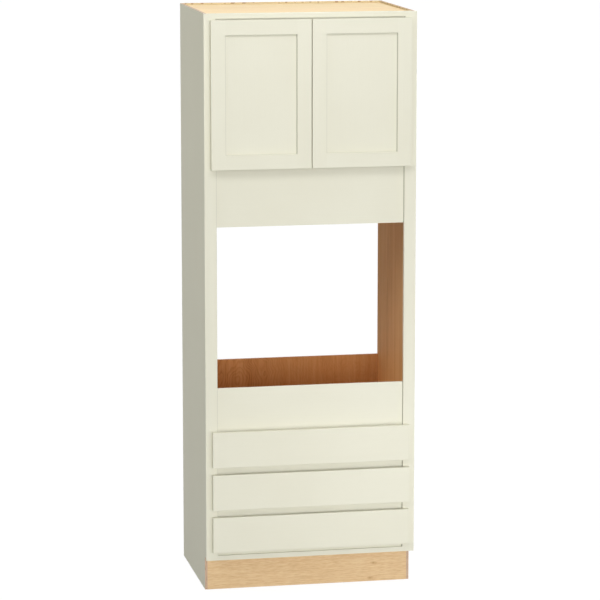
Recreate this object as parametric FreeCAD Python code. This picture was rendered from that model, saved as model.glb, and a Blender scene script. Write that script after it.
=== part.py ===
import FreeCAD, Part
import math
import os

# Tall kitchen housing for a built-in oven: a framed box with a pair of doors over the
# oven bay and three drawers under it.
# Millimetres. +Z is up and the front faces -Y. The origin is on the floor, under the
# middle of the whole unit, doors included.

# Overall
CABINET_WIDTH = 838.2
CABINET_HEIGHT = 2286.0
CABINET_DEPTH = 609.6            # front of the face frame to the back of the box

# Face frame
STILE_WIDTH = 47.0
STILE_THICKNESS = 19.0
RAIL_SETBACK = 9.5               # the rails lie this far behind the faces of the stiles
BAND_HEIGHT = 19.0               # flush strip along the top rail and along the bottom rail
TOP_RAIL_HEIGHT = 38.0
UPPER_OVEN_RAIL_HEIGHT = 248.5
LOWER_OVEN_RAIL_HEIGHT = 181.0
OVEN_OPENING_HEIGHT = 636.0
TENON_LENGTH = 12.0
TENON_THICKNESS = 5.0
TENON_SHOULDER = 8.0

# Box
SIDE_THICKNESS = 9.5
SIDE_INSET = 4.8                 # the stiles overhang the side panels by this much
SIDE_TONGUE = 6.0                # depth that a side panel enters its stile
DECK_THICKNESS = 12.7
DADO_DEPTH = 3.0
BACK_THICKNESS = 9.5
BACK_RABBET = 5.0
TOP_SINK = 7.0                   # top panel below the upper edges of the sides
PLATFORM_THICKNESS = 19.0
PLATFORM_LIFT = 19.0             # underside of the platform above the drawer opening
CLEAT_THICKNESS = 19.0
CLEAT_HEIGHT = 30.0
HANGING_RAIL_THICKNESS = 15.0
HANGING_RAIL_HEIGHT = 89.0

# Base
TOE_HEIGHT = 134.0
TOE_RECESS = 66.0
TOE_BOARD_THICKNESS = 12.7
BRACE_LEG = 75.0
BRACE_THICKNESS = 19.0

# Shelf
SHELF_THICKNESS = 15.9
SHELF_SIDE_GAP = 1.5
SHELF_FRONT_SPACE = 28.0
SHELF_REAR_GAP = 0.8
PIN_RADIUS = 2.4
PIN_HOLE_CLEARANCE = 0.1
PIN_HOLE_DEPTH = 7.0
PIN_REACH = 11.0
PIN_TAB_THICKNESS = 2.0
PIN_TAB_WIDTH = 9.0
PIN_ROW_INSET = 62.0
PIN_PITCH = 50.8
PIN_ROWS_EACH_WAY = 1

# Doors and drawer fronts
FRONT_THICKNESS = 19.0
FRONT_GAP = 3.0                  # between the stiles and the backs of doors and drawer fronts
SIDE_REVEAL = 24.0
TOP_REVEAL = 24.0
DOOR_RAIL_OVERLAY = 23.0
MEETING_GAP = 3.0
EASED_EDGE = 1.5
DOOR_MEMBER_WIDTH = 57.0
PANEL_THICKNESS = 6.0
PANEL_RECESS = 9.5
PANEL_TONGUE = 10.0
PANEL_PLAY = 0.5

# Drawers
DRAWER_FRONT_HEIGHT = 141.5
DRAWER_FRONT_SPACING = 29.2
BOTTOM_REVEAL = 35.2
DRAWER_RAIL_OVERLAY = 10.0
BOX_BOTTOM_SPACE = 8.0
BOX_TOP_SPACE = 18.5
BOX_REAR_SPACE = 44.0
BOX_BOARD = 12.7
BOX_BOTTOM_THICKNESS = 6.0
BOX_BOTTOM_RAISE = 9.0
BOX_GROOVE = 5.0
TAIL_COUNT = 3
PIN_NARROW_HEIGHT = 9.0
DOVETAIL_SLOPE = 1.0 / 6.0

# Telescopic slides
SLIDE_THICKNESS = 12.7
SLIDE_HEIGHT = 45.0
SLIDE_GAUGE = 1.2
SLIDE_PLAY = 0.4
SLIDE_LIP = 2.0
SLIDE_LIP_OFFSET = 3.8           # side of the drawer box to the middle of the outer lip
SLIDE_END_SPACE = 3.0
BRACKET_GAUGE = 1.5
BRACKET_HEIGHT = 38.0
BRACKET_LAP = 40.0
BRACKET_FOOT = 22.0

# Concealed hinges
HINGE_FROM_END = 85.0
CUP_RADIUS = 17.5
CUP_DEPTH = 12.0
CUP_WALL = 0.8
CUP_EDGE = 3.0                   # hinge edge of the door to the rim of the cup
CUP_FIT = 0.1
EAR_SPACING = 48.0
EAR_RADIUS = 6.5
HINGE_PIN_RADIUS = 1.25
HINGE_PIN_FROM_EDGE = 7.0
HINGE_PIN_FROM_BACK = 8.0
EYE_PLAY = 0.25
EYE_WALL = 0.9
ARM_GAUGE = 2.0
ARM_HEIGHT = 9.0
ARM_SIDE_PLAY = 0.6
ARM_BASE_HEIGHT = 38.0
ARM_BASE_SETBACK = 1.5
ARM_BASE_LENGTH = 16.0

# Places across the width, on the right-hand half
HALF_WIDTH = CABINET_WIDTH / 2
OPENING_X = HALF_WIDTH - STILE_WIDTH
SIDE_OUTER_X = HALF_WIDTH - SIDE_INSET
SIDE_INNER_X = SIDE_OUTER_X - SIDE_THICKNESS
DOOR_OUTER_X = HALF_WIDTH - SIDE_REVEAL
BOX_HALF_WIDTH = OPENING_X - SLIDE_THICKNESS
INNER_WIDTH = (-SIDE_INNER_X, SIDE_INNER_X)

# Places through the depth
FRAME_Y = (FRONT_GAP + FRONT_THICKNESS - CABINET_DEPTH) / 2
FRAME_BACK_Y = FRAME_Y + STILE_THICKNESS
BACK_Y = FRAME_Y + CABINET_DEPTH
BACK_INNER_Y = BACK_Y - BACK_THICKNESS
LEAF_BACK_Y = FRAME_Y - FRONT_GAP
LEAF_FRONT_Y = LEAF_BACK_Y - FRONT_THICKNESS
DECK_SPAN = (FRAME_BACK_Y, BACK_INNER_Y)

# Places up the height
DRAWER_PITCH = DRAWER_FRONT_HEIGHT + DRAWER_FRONT_SPACING
DRAWER_OPENING_HEIGHT = DRAWER_FRONT_HEIGHT - 2 * DRAWER_RAIL_OVERLAY
FIRST_OPENING_Z = TOE_HEIGHT + BOTTOM_REVEAL + DRAWER_RAIL_OVERLAY
DRAWERS_TOP_Z = FIRST_OPENING_Z + 2 * DRAWER_PITCH + DRAWER_OPENING_HEIGHT
SILL_Z = DRAWERS_TOP_Z + LOWER_OVEN_RAIL_HEIGHT
OVEN_TOP_Z = SILL_Z + OVEN_OPENING_HEIGHT
CUPBOARD_FLOOR_Z = OVEN_TOP_Z + UPPER_OVEN_RAIL_HEIGHT
TOP_RAIL_Z = CABINET_HEIGHT - TOP_RAIL_HEIGHT
DOOR_BOTTOM_Z = CUPBOARD_FLOOR_Z - DOOR_RAIL_OVERLAY
DOOR_TOP_Z = CABINET_HEIGHT - TOP_REVEAL
PLATFORM_Z = DRAWERS_TOP_Z + PLATFORM_LIFT
TOP_PANEL_Z = CABINET_HEIGHT - TOP_SINK - DECK_THICKNESS
BOTTOM_PANEL_Z = FIRST_OPENING_Z - DECK_THICKNESS
SHELF_HOLE_Z = (CUPBOARD_FLOOR_Z + TOP_PANEL_Z) / 2

DRAWER_NAMES = ("lower_drawer", "middle_drawer", "upper_drawer")


def board(x, y, z):
    """A rectangular board between (low, high) limits along each axis."""
    corner = FreeCAD.Vector(x[0], y[0], z[0])
    return Part.makeBox(x[1] - x[0], y[1] - y[0], z[1] - z[0], corner)


def rod(radius, start, direction, length):
    """A round bar from a start point along a direction."""
    return Part.makeCylinder(radius, length, FreeCAD.Vector(*start), FreeCAD.Vector(*direction))


def prism(points, direction):
    """A straight-edged outline pushed along a direction."""
    outline = [FreeCAD.Vector(*point) for point in points]
    outline.append(outline[0])
    return Part.Face(Part.makePolygon(outline)).extrude(FreeCAD.Vector(*direction))


def folded_sheet(centre_line, gauge, direction):
    """Sheet metal folded along a centre line and pushed along a direction."""
    points = [FreeCAD.Vector(*point) for point in centre_line]
    push = FreeCAD.Vector(*direction)
    normals = [push.cross(end - start).normalize() for start, end in zip(points, points[1:])]
    mitres = [(a + b) / (1 + a.dot(b)) for a, b in zip(normals, normals[1:])]
    offsets = [offset * (gauge / 2) for offset in [normals[0]] + mitres + [normals[-1]]]
    near = [point + offset for point, offset in zip(points, offsets)]
    far = [point - offset for point, offset in zip(points, offsets)]
    return prism(near + far[::-1], direction)


def mirrored(shape):
    """The same piece on the other side of the cabinet."""
    return shape.mirror(FreeCAD.Vector(0, 0, 0), FreeCAD.Vector(1, 0, 0))


def pair(shape):
    """A piece and its mirror image."""
    return [shape, mirrored(shape)]


def cut_by(shape, tools):
    """A piece with the shapes of the pieces that seat in it taken out."""
    return shape.cut(Part.makeCompound(tools)).removeSplitter()


def save(name, solids):
    """Write one node, which holds one solid or a group of separate ones."""
    shape = solids[0] if len(solids) == 1 else Part.makeCompound(solids)
    shape.exportStep(os.path.join("parts", name + ".step"))


# ---------------------------------------------------------------- face frame

def rail(low, high):
    """A rail set back behind the stiles, with a stub tenon on each end."""
    body = board((-OPENING_X, OPENING_X), (FRAME_Y + RAIL_SETBACK, FRAME_BACK_Y), (low, high))
    middle = (FRAME_Y + RAIL_SETBACK + FRAME_BACK_Y) / 2
    reach = OPENING_X + TENON_LENGTH
    thickness = (middle - TENON_THICKNESS / 2, middle + TENON_THICKNESS / 2)
    tenon = board((-reach, reach), thickness, (low + TENON_SHOULDER, high - TENON_SHOULDER))
    return body.fuse(tenon).removeSplitter()


def rail_with_band(low, high, band_low):
    """A rail with a strip along it that is flush with the stiles."""
    limits = (band_low, band_low + BAND_HEIGHT)
    band = board((-OPENING_X, OPENING_X), (FRAME_Y, FRAME_BACK_Y), limits)
    return rail(low, high).fuse(band).removeSplitter()


def face_frame_rails():
    rails = {
        "top_rail": rail_with_band(TOP_RAIL_Z, CABINET_HEIGHT, CABINET_HEIGHT - BAND_HEIGHT),
        "upper_oven_rail": rail(OVEN_TOP_Z, CUPBOARD_FLOOR_Z),
        "lower_oven_rail": rail(DRAWERS_TOP_Z, SILL_Z),
        "bottom_rail": rail_with_band(TOE_HEIGHT, FIRST_OPENING_Z, TOE_HEIGHT),
    }
    for number, name in enumerate(("lower_divider_rail", "upper_divider_rail")):
        top = FIRST_OPENING_Z + (number + 1) * DRAWER_PITCH
        rails[name] = rail(top - DRAWER_PITCH + DRAWER_OPENING_HEIGHT, top)
    return rails


def stile(rails, side):
    """The right-hand stile, grooved for the side panel and mortised for the rails."""
    body = board((OPENING_X, HALF_WIDTH), (FRAME_Y, FRAME_BACK_Y), (TOE_HEIGHT, CABINET_HEIGHT))
    return cut_by(body, rails + [side])


# ----------------------------------------------------------------------- box

def deck(low, thickness):
    """A horizontal panel held in dadoes in both side panels."""
    reach = SIDE_INNER_X + DADO_DEPTH
    return board((-reach, reach), DECK_SPAN, (low, low + thickness))


def back_panel(low, high):
    """A back panel let into rabbets in the rear edges of the side panels."""
    reach = SIDE_INNER_X + BACK_RABBET
    return board((-reach, reach), (BACK_INNER_Y, BACK_Y), (low, high))


def pin_columns():
    """Depths of the two columns of shelf-pin holes in each side panel."""
    return (FRAME_BACK_Y + PIN_ROW_INSET, BACK_INNER_Y - PIN_ROW_INSET)


def side_panel(seated):
    """The right-hand side panel, notched for the toe space and bored for shelf pins."""
    across = (SIDE_INNER_X, SIDE_OUTER_X)
    body = board(across, (FRAME_BACK_Y - SIDE_TONGUE, BACK_Y), (0, CABINET_HEIGHT))
    notch = board(across, (FRAME_Y, FRAME_Y + TOE_RECESS), (0, TOE_HEIGHT))
    holes = []
    for y in pin_columns():
        for row in range(-PIN_ROWS_EACH_WAY, PIN_ROWS_EACH_WAY + 1):
            start = (SIDE_INNER_X, y, SHELF_HOLE_Z + row * PIN_PITCH)
            holes.append(rod(PIN_RADIUS + PIN_HOLE_CLEARANCE, start, (1, 0, 0), PIN_HOLE_DEPTH))
    return cut_by(body, seated + [notch] + holes)


def toe_kick_board():
    depth = (FRAME_Y + TOE_RECESS, FRAME_Y + TOE_RECESS + TOE_BOARD_THICKNESS)
    return board(INNER_WIDTH, depth, (0, BOTTOM_PANEL_Z))


def corner_braces():
    """Triangular blocks under the bottom panel, in the four corners of the base."""
    low = BOTTOM_PANEL_Z - BRACE_THICKNESS
    braces = []
    rows = ((FRAME_Y + TOE_RECESS + TOE_BOARD_THICKNESS, BRACE_LEG), (BACK_INNER_Y, -BRACE_LEG))
    for y, leg in rows:
        corner = (SIDE_INNER_X, y, low)
        along_side = (SIDE_INNER_X, y + leg, low)
        along_board = (SIDE_INNER_X - BRACE_LEG, y, low)
        braces += pair(prism((corner, along_side, along_board), (0, 0, BRACE_THICKNESS)))
    return braces


def platform_cleats():
    """Battens round all four sides of the bay, which carry the oven platform."""
    height = (PLATFORM_Z - CLEAT_HEIGHT, PLATFORM_Z)
    between = (CLEAT_THICKNESS - SIDE_INNER_X, SIDE_INNER_X - CLEAT_THICKNESS)
    side = board((between[1], SIDE_INNER_X), DECK_SPAN, height)
    front = board(between, (FRAME_BACK_Y, FRAME_BACK_Y + CLEAT_THICKNESS), height)
    rear = board(between, (BACK_INNER_Y - CLEAT_THICKNESS, BACK_INNER_Y), height)
    return pair(side) + [front, rear]


def shelf_pins():
    """Four pegs with a flat tab that the shelf lies on."""
    pins = []
    for y in pin_columns():
        start = (SIDE_INNER_X + PIN_HOLE_DEPTH, y, SHELF_HOLE_Z)
        peg = rod(PIN_RADIUS, start, (-1, 0, 0), PIN_HOLE_DEPTH + PIN_REACH)
        width = (y - PIN_TAB_WIDTH / 2, y + PIN_TAB_WIDTH / 2)
        height = (SHELF_HOLE_Z + PIN_RADIUS - PIN_TAB_THICKNESS, SHELF_HOLE_Z + PIN_RADIUS)
        tab = board((SIDE_INNER_X - PIN_REACH, SIDE_INNER_X), width, height)
        pins += pair(peg.fuse(tab).removeSplitter())
    return pins


def adjustable_shelf():
    half = SIDE_INNER_X - SHELF_SIDE_GAP
    depth = (FRAME_BACK_Y + SHELF_FRONT_SPACE, BACK_INNER_Y - SHELF_REAR_GAP)
    low = SHELF_HOLE_Z + PIN_RADIUS
    return board((-half, half), depth, (low, low + SHELF_THICKNESS))


def save_carcass():
    rails = face_frame_rails()
    panels = {
        "top_panel": deck(TOP_PANEL_Z, DECK_THICKNESS),
        "cupboard_floor": deck(CUPBOARD_FLOOR_Z - DECK_THICKNESS, DECK_THICKNESS),
        "bottom_panel": deck(BOTTOM_PANEL_Z, DECK_THICKNESS),
        "upper_back_panel": back_panel(CUPBOARD_FLOOR_Z - DECK_THICKNESS, CABINET_HEIGHT),
        "lower_back_panel": back_panel(0, SILL_Z),
    }
    right_side = side_panel(list(panels.values()))
    right_stile = stile(list(rails.values()), right_side)
    platform = board(INNER_WIDTH, DECK_SPAN, (PLATFORM_Z, PLATFORM_Z + PLATFORM_THICKNESS))
    hanging_depth = (BACK_INNER_Y - HANGING_RAIL_THICKNESS, BACK_INNER_Y)
    hanging_rail = board(INNER_WIDTH, hanging_depth, (TOP_PANEL_Z - HANGING_RAIL_HEIGHT, TOP_PANEL_Z))
    for name, shape in {**rails, **panels}.items():
        save(name, [shape])
    save("right_side_panel", [right_side])
    save("left_side_panel", [mirrored(right_side)])
    save("right_stile", [right_stile])
    save("left_stile", [mirrored(right_stile)])
    save("oven_platform", [platform])
    save("hanging_rail", [hanging_rail])
    save("toe_kick_board", [toe_kick_board()])
    save("corner_braces", corner_braces())
    save("platform_cleats", platform_cleats())
    save("adjustable_shelf", [adjustable_shelf()])
    save("shelf_pins", shelf_pins())


# -------------------------------------------------------------------- hinges

HINGE_HEIGHTS = (DOOR_BOTTOM_Z + HINGE_FROM_END, DOOR_TOP_Z - HINGE_FROM_END)
CUP_X = DOOR_OUTER_X - CUP_EDGE - CUP_RADIUS
HINGE_PIN_X = DOOR_OUTER_X - HINGE_PIN_FROM_EDGE
HINGE_PIN_Y = LEAF_BACK_Y - HINGE_PIN_FROM_BACK


def cup_bore(z):
    """The blind hole for a hinge cup in the back of the right-hand door."""
    return rod(CUP_RADIUS + CUP_FIT, (CUP_X, LEAF_BACK_Y, z), (0, -1, 0), CUP_DEPTH + CUP_FIT)


def hinge_cup(z):
    """A pressed cup with two ears on the door's back, open beside the arm, and its pin."""
    centre = (CUP_X, LEAF_BACK_Y, z)
    shell = rod(CUP_RADIUS, centre, (0, -1, 0), CUP_DEPTH)
    ears = board((CUP_X - EAR_RADIUS, CUP_X + EAR_RADIUS), (LEAF_BACK_Y, LEAF_BACK_Y + CUP_WALL),
                 (z - EAR_SPACING / 2, z + EAR_SPACING / 2))
    for end in (z - EAR_SPACING / 2, z + EAR_SPACING / 2):
        ears = ears.fuse(rod(EAR_RADIUS, (CUP_X, LEAF_BACK_Y, end), (0, 1, 0), CUP_WALL))
    rim = rod(CUP_RADIUS, centre, (0, 1, 0), CUP_WALL)
    start = (CUP_X, LEAF_BACK_Y + CUP_WALL, z)
    hollow = rod(CUP_RADIUS - CUP_WALL, start, (0, -1, 0), CUP_DEPTH)
    mouth_height = ARM_HEIGHT / 2 + ARM_SIDE_PLAY
    mouth = board((CUP_X, DOOR_OUTER_X), (LEAF_BACK_Y - CUP_DEPTH + CUP_WALL, LEAF_BACK_Y + CUP_WALL),
                  (z - mouth_height, z + mouth_height))
    cup = shell.fuse([ears, rim]).cut(Part.makeCompound([hollow, mouth]))
    reach = HINGE_PIN_X - CUP_X + HINGE_PIN_RADIUS
    half_pin = math.sqrt(CUP_RADIUS ** 2 - reach ** 2)
    pin = rod(HINGE_PIN_RADIUS, (HINGE_PIN_X, HINGE_PIN_Y, z - half_pin), (0, 0, 1), 2 * half_pin)
    return cup.fuse(pin).removeSplitter()


def hinge_arm(z):
    """A folded arm from the stile's inner edge into the cup, with an eye round the pin."""
    leg_x = OPENING_X - ARM_GAUGE / 2
    base_y = FRAME_Y + ARM_BASE_SETBACK
    low = z - ARM_HEIGHT / 2
    line = ((leg_x, base_y, low), (leg_x, HINGE_PIN_Y, low), (HINGE_PIN_X, HINGE_PIN_Y, low))
    arm = folded_sheet(line, ARM_GAUGE, (0, 0, ARM_HEIGHT))
    base = board((OPENING_X - ARM_GAUGE, OPENING_X), (base_y, base_y + ARM_BASE_LENGTH),
                 (z - ARM_BASE_HEIGHT / 2, z + ARM_BASE_HEIGHT / 2))
    eye_start = (HINGE_PIN_X, HINGE_PIN_Y, low)
    hole_radius = HINGE_PIN_RADIUS + EYE_PLAY
    eye = rod(hole_radius + EYE_WALL, eye_start, (0, 0, 1), ARM_HEIGHT)
    hole = rod(hole_radius, eye_start, (0, 0, 1), ARM_HEIGHT)
    return arm.fuse([base, eye]).cut(hole).removeSplitter()


# --------------------------------------------------------------------- doors

def eased_slab(x, z):
    """A door or drawer front whose front edges are rounded over."""
    slab = board(x, (LEAF_FRONT_Y, LEAF_BACK_Y), z)
    front = [edge for edge in slab.Edges
             if all(abs(vertex.Y - LEAF_FRONT_Y) < 1e-6 for vertex in edge.Vertexes)]
    return slab.makeFillet(EASED_EDGE, front)


def door_pieces():
    """The right-hand door: two stiles, two rails, a floating panel and two hinge cups."""
    outer = DOOR_OUTER_X
    meeting = MEETING_GAP / 2
    width = (meeting, outer)
    height = (DOOR_BOTTOM_Z, DOOR_TOP_Z)
    depth = (LEAF_FRONT_Y, LEAF_BACK_Y)
    slab = eased_slab(width, height)
    inside_x = (meeting + DOOR_MEMBER_WIDTH, outer - DOOR_MEMBER_WIDTH)
    inside_z = (DOOR_BOTTOM_Z + DOOR_MEMBER_WIDTH, DOOR_TOP_Z - DOOR_MEMBER_WIDTH)
    groove_y = (LEAF_FRONT_Y + PANEL_RECESS, LEAF_FRONT_Y + PANEL_RECESS + PANEL_THICKNESS)

    def spread(limits, amount):
        return (limits[0] - amount, limits[1] + amount)

    tongue_x = spread(inside_x, PANEL_TONGUE)
    groove = board(tongue_x, groove_y, spread(inside_z, PANEL_TONGUE))
    reach = PANEL_TONGUE - PANEL_PLAY
    panel = board(spread(inside_x, reach), groove_y, spread(inside_z, reach))
    rails = {}
    limits = {"bottom_rail": (height[0], inside_z[0]), "top_rail": (inside_z[1], height[1])}
    for name, rail_z in limits.items():
        body = board(inside_x, depth, rail_z).common(slab)
        tongue = board(tongue_x, groove_y, rail_z)
        tongue = tongue.common(board(tongue_x, groove_y, spread(inside_z, PANEL_TONGUE + PANEL_THICKNESS)))
        rails[name] = body.fuse(tongue).cut(groove).removeSplitter()
    seated = [groove] + list(rails.values())
    hinge_stile = board((inside_x[1], outer), depth, height).common(slab)
    meeting_stile = board((meeting, inside_x[0]), depth, height).common(slab)
    bores = [cup_bore(z) for z in HINGE_HEIGHTS]
    return {
        "hinge_stile": [cut_by(hinge_stile, seated + bores)],
        "meeting_stile": [cut_by(meeting_stile, seated)],
        "top_rail": [rails["top_rail"]],
        "bottom_rail": [rails["bottom_rail"]],
        "panel": [panel],
        "hinge_cups": [hinge_cup(z) for z in HINGE_HEIGHTS],
    }


def save_doors():
    for name, solids in door_pieces().items():
        save("right_door_" + name, solids)
        save("left_door_" + name, [mirrored(solid) for solid in solids])
    arms = [hinge_arm(z) for z in HINGE_HEIGHTS]
    save("hinge_arms", arms + [mirrored(arm) for arm in arms])


# ------------------------------------------------------------------- drawers

BOX_FRONT_Y = LEAF_BACK_Y
BOX_REAR_Y = BACK_INNER_Y - BOX_REAR_SPACE
SLIDE_FRONT_Y = FRAME_Y + SLIDE_END_SPACE
SLIDE_REAR_Y = BOX_REAR_Y - SLIDE_END_SPACE


def dovetail_pins(outer_y, inner_y, low, high):
    """Wedge-shaped pins that lock one end board into the right-hand box side."""
    narrow = PIN_NARROW_HEIGHT / 2
    wide = narrow + abs(inner_y - outer_y) * DOVETAIL_SLOPE
    x = BOX_HALF_WIDTH - BOX_BOARD
    pitch = (high - low) / TAIL_COUNT
    whole = board((x, BOX_HALF_WIDTH), sorted((outer_y, inner_y)), (low, high))
    pins = []
    for number in range(TAIL_COUNT + 1):
        z = low + number * pitch
        outline = ((x, outer_y, z - narrow), (x, outer_y, z + narrow),
                   (x, inner_y, z + wide), (x, inner_y, z - wide))
        pins.append(prism(outline, (BOX_BOARD, 0, 0)).common(whole))
    return pins


def drawer_box(low):
    """Dovetailed sides, front and back round a bottom held in grooves."""
    high = low + DRAWER_OPENING_HEIGHT - BOX_BOTTOM_SPACE - BOX_TOP_SPACE
    inner_x = BOX_HALF_WIDTH - BOX_BOARD
    front = (BOX_FRONT_Y, BOX_FRONT_Y + BOX_BOARD)
    rear = (BOX_REAR_Y - BOX_BOARD, BOX_REAR_Y)
    bottom_x = (-inner_x - BOX_GROOVE, inner_x + BOX_GROOVE)
    bottom_y = (front[1] - BOX_GROOVE, rear[0] + BOX_GROOVE)
    bottom_z = (low + BOX_BOTTOM_RAISE, low + BOX_BOTTOM_RAISE + BOX_BOTTOM_THICKNESS)
    bottom = board(bottom_x, bottom_y, bottom_z)
    front_pins = dovetail_pins(front[0], front[1], low, high)
    rear_pins = dovetail_pins(rear[1], rear[0], low, high)
    side = board((inner_x, BOX_HALF_WIDTH), (front[0], rear[1]), (low, high))
    side = cut_by(side, front_pins + rear_pins + [bottom])
    ends = []
    for depth, pins in ((front, front_pins), (rear, rear_pins)):
        end = board((-inner_x, inner_x), depth, (low, high))
        end = end.fuse(pins + [mirrored(pin) for pin in pins])
        ends.append(end.cut(bottom).removeSplitter())
    return pair(side), ends[0], ends[1], bottom


def slide_sections():
    """Centre lines of the three nested slide members, as (out from box side, up) points."""
    half_gauge = SLIDE_GAUGE / 2
    step = SLIDE_GAUGE + SLIDE_PLAY
    outer_flange = SLIDE_HEIGHT / 2 - half_gauge
    outer_web = SLIDE_THICKNESS - half_gauge
    middle_flange = outer_flange - step
    middle_tip = middle_flange - SLIDE_LIP
    inner_flange = middle_tip - SLIDE_PLAY - half_gauge
    inner_tip = middle_flange - SLIDE_PLAY - half_gauge
    upper_halves = (
        ((SLIDE_LIP_OFFSET, outer_flange - SLIDE_LIP), (SLIDE_LIP_OFFSET, outer_flange),
         (outer_web, outer_flange)),
        ((SLIDE_LIP_OFFSET + step, middle_tip), (SLIDE_LIP_OFFSET + step, middle_flange),
         (outer_web - step, middle_flange)),
        ((outer_web - 2 * step, inner_tip), (outer_web - 2 * step, inner_flange),
         (half_gauge, inner_flange)),
    )
    return [upper + tuple((out, -up) for out, up in reversed(upper)) for upper in upper_halves]


def slide_member(section, z):
    """The right-hand slide member of one section, at the height of its middle."""
    line = [(BOX_HALF_WIDTH + out, SLIDE_FRONT_Y, z + up) for out, up in section]
    return folded_sheet(line, SLIDE_GAUGE, (0, SLIDE_REAR_Y - SLIDE_FRONT_Y, 0))


def runner_bracket(z):
    """A folded plate that joins the rear of a runner to the back panel."""
    x = OPENING_X + BRACKET_GAUGE / 2
    y = BACK_INNER_Y - BRACKET_GAUGE / 2
    low = z - BRACKET_HEIGHT / 2
    line = ((x, SLIDE_REAR_Y - BRACKET_LAP, low), (x, y, low), (x + BRACKET_FOOT, y, low))
    return folded_sheet(line, BRACKET_GAUGE, (0, 0, BRACKET_HEIGHT))


def save_drawers():
    runners = []
    brackets = []
    outer, middle, inner = slide_sections()
    for number, name in enumerate(DRAWER_NAMES):
        opening = FIRST_OPENING_Z + number * DRAWER_PITCH
        front_z = opening - DRAWER_RAIL_OVERLAY
        front = eased_slab((-DOOR_OUTER_X, DOOR_OUTER_X), (front_z, front_z + DRAWER_FRONT_HEIGHT))
        low = opening + BOX_BOTTOM_SPACE
        middle_z = (low + opening + DRAWER_OPENING_HEIGHT - BOX_TOP_SPACE) / 2
        sides, box_front, box_back, bottom = drawer_box(low)
        save(name + "_front", [front])
        save(name + "_sides", sides)
        save(name + "_box_front", [box_front])
        save(name + "_box_back", [box_back])
        save(name + "_bottom", [bottom])
        save(name + "_inner_slides", pair(slide_member(inner, middle_z)))
        save(name + "_middle_slides", pair(slide_member(middle, middle_z)))
        runners += pair(slide_member(outer, middle_z))
        brackets += pair(runner_bracket(middle_z))
    save("drawer_runners", runners)
    save("runner_brackets", brackets)


os.makedirs("parts", exist_ok=True)
save_carcass()
save_doors()
save_drawers()
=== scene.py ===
import math

import bmesh
import bpy
from mathutils import Matrix, Vector


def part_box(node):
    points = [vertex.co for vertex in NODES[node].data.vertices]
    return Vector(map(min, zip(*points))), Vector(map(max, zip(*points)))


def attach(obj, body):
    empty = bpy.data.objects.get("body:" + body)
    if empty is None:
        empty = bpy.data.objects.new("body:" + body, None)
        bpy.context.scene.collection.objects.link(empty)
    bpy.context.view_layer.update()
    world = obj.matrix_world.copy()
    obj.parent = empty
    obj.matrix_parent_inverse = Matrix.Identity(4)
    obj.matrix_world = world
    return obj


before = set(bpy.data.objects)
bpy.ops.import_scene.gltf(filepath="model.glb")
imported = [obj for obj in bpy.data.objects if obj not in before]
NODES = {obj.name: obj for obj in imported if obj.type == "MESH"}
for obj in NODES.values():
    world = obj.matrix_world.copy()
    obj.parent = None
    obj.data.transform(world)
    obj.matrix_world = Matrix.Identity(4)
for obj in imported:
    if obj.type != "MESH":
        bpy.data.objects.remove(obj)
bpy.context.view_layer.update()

# The looks of the tall oven housing unit: a material for every CAD piece, the small fasteners
# and fittings, the studio and the camera. Everything is in metres, in the part's own frame.

# The inner edge of the right stile, which the outer members of the slides touch
OPENING_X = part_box("drawer_runners")[1].x

DRAWERS = ("lower_drawer", "middle_drawer", "upper_drawer")
SIDES = ("left", "right")

# Colours, in linear light
CREAM = (0.815, 0.800, 0.675)
CREAM_LOW = (0.790, 0.772, 0.642)
MAPLE = ((0.950, 0.765, 0.440), (0.925, 0.690, 0.368), (0.760, 0.505, 0.235))
RED_MAPLE = ((0.595, 0.303, 0.120), (0.500, 0.226, 0.078), (0.318, 0.121, 0.035))
SIDE_MAPLE = ((0.880, 0.560, 0.275), (0.800, 0.475, 0.218), (0.620, 0.330, 0.135))
BOX_MAPLE = ((0.830, 0.650, 0.430), (0.760, 0.560, 0.340), (0.600, 0.410, 0.220))
TOE_MAPLE = ((0.930, 0.710, 0.435), (0.825, 0.577, 0.322), (0.650, 0.412, 0.207))
PLAIN_BACK = ((0.780, 0.600, 0.390), (0.700, 0.500, 0.300), (0.560, 0.370, 0.200))
PINE = ((0.830, 0.640, 0.390), (0.740, 0.520, 0.280), (0.500, 0.300, 0.130))
PLY_LONG = (0.780, 0.560, 0.410)
PLY_CROSS = (0.600, 0.410, 0.300)
PLY_GLUE = (0.360, 0.230, 0.160)
KNOT_BROWN = (0.560, 0.320, 0.140)
STRIP_MAPLE = (0.720, 0.590, 0.360)
CHIP_BROWN = (0.400, 0.245, 0.120)
# Colour of the painted shade in the joints and corners
SEAM_SHADE = (0.130, 0.125, 0.095)
ZINC = (0.640, 0.655, 0.670)
NICKEL = (0.560, 0.535, 0.500)
BLACK_PLASTIC = (0.030, 0.030, 0.032)
CLEAR_PLASTIC = (0.86, 0.86, 0.83)
AMBIENT_TINT = (1.0, 0.990, 0.910)
SIDE_TINT = (1.0, 0.990, 0.800)
FLOOR_BOUNCE = (0.30, 0.30, 0.285, 1.0)

# Depth of the paint's relief, and how strongly each finish reflects
PAINT_RELIEF = 0.00008
PAINT_SHEEN = 0.30
SOLID_WOOD_SHEEN = 0.25
VENEER_SHEEN = 0.12

# Painted shade along the joint where a rail or a panel meets its frame: a dark line for the hairline of
# the joint and for the shade in its corner. Its width, and its strength in the corner itself and on the
# eased edge in front of it, where it is painted shade only
SEAM_SHADE_WIDTH = 0.0022
CORNER_SHADE = 0.80
EDGE_SHADE = 0.30

# The top and bottom rails have a strip, this high, that is flush with the stiles. The painted shade of
# the seams on the rails starts this deep behind the stiles' faces, which leaves those strips out
FLUSH_BAND = 0.019
SEAM_SHADE_START_DEPTH = 0.005

# Thickness of one ply: in the sides and backs, the decks, the shelf and the drawer bottoms
PANEL_PLY = 0.0019
DECK_PLY = 0.0021
SHELF_PLY = 0.00225
DRAWER_PLY = 0.0012

# Where the arched figure of the back panels' veneer closes: height and place across
BACK_HEART = (0.725, -0.197)

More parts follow.
